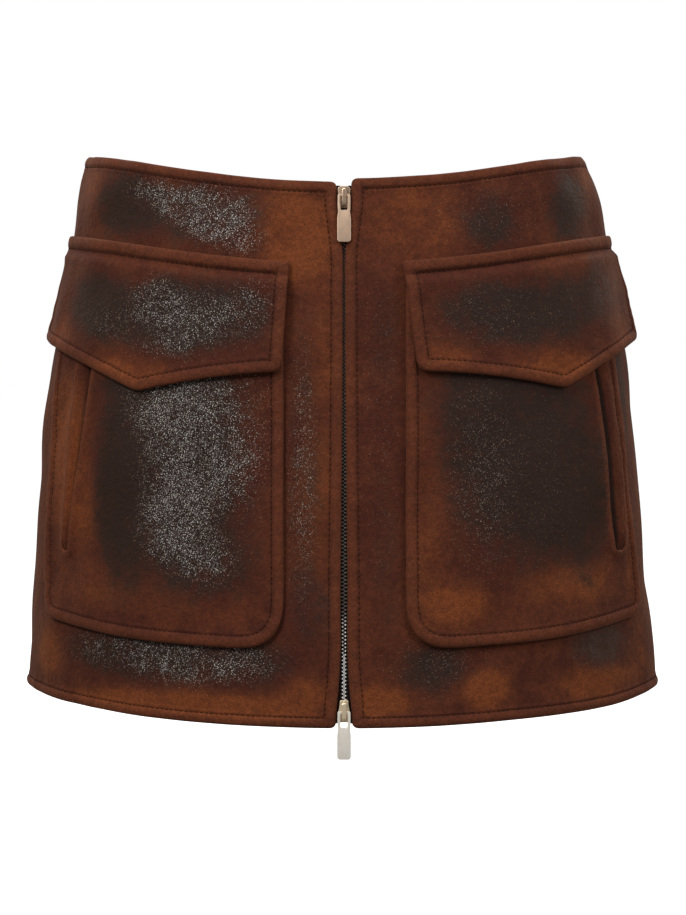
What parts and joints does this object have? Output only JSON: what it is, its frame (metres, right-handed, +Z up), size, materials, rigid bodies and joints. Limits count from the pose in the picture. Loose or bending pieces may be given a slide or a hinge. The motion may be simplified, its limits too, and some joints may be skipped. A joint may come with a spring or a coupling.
{
  "type": "mini skirt",
  "caption": "Short flared suede skirt, open at waist and hem, with a front zip opening from either end and patch pockets under pointed flaps.",
  "frame": {"origin": "centre of the waist opening, level with the top edge at the two sides, where the wearer holds the skirt up", "axes": "+Z up towards the waist, -Y out of the front with the zip, +X to the right as the front is looked at"},
  "size_m": [0.3964, 0.2837, 0.3581],
  "materials": {
    "suede": "rust brown suede with darker burnished patches that have a crackled sheen",
    "zip_tape": "matt dark brown woven tape",
    "zip_metal": "polished pale gold"
  },
  "bodies": {
    "skirt": {"front_left": "suede", "front_right": "suede", "back": "suede", "pocket_left": "suede", "pocket_right": "suede", "flap_left": "suede", "flap_right": "suede", "zip_tape_left": "zip_tape", "zip_tape_right": "zip_tape", "slider_top": "zip_metal", "slider_bottom": "zip_metal"},
    "top_pull": {"pull_top": "zip_metal"},
    "bottom_pull": {"pull_bottom": "zip_metal"}
  },
  "joints": [
    {"name": "top_pull_hinge", "type": "hinge", "parent": "skirt", "child": "top_pull", "pos_m": [0, -0.10694, -0.02512], "axis": [-1, 0, 0], "range_deg": [0, 165]},
    {"name": "bottom_pull_hinge", "type": "hinge", "parent": "skirt", "child": "bottom_pull", "pos_m": [0, -0.13821, -0.33025], "axis": [-1, 0, 0], "range_deg": [-5, 165]}
  ]
}
